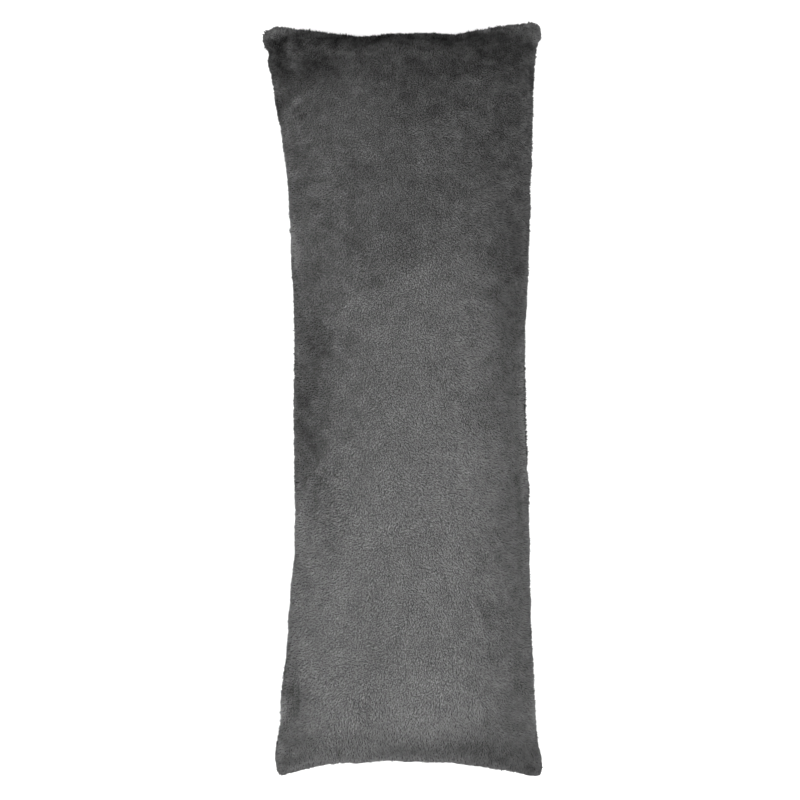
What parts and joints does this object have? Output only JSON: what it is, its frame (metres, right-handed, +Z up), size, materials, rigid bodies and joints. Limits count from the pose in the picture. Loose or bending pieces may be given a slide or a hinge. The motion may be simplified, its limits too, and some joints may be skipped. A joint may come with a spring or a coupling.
{
  "type": "body pillow",
  "caption": "Long rectangular filled pillow in short dark grey plush, with a soft crown, drawn-in sides, thin corner ears and a plain knife-edge seam, lying on its back.",
  "frame": {"origin": "on the surface that the pillow rests on, under the middle of its box", "axes": "+Y along the pillow towards its head end, +X across it, +Z up out of the front panel"},
  "size_m": [0.5117, 1.3729, 0.1922],
  "materials": {
    "plush": "short dense plush pile in dark grey, matt, with a soft sheen and a mottled nap"
  },
  "bodies": {
    "root": {"pillow": "plush"}
  },
  "joints": []
}
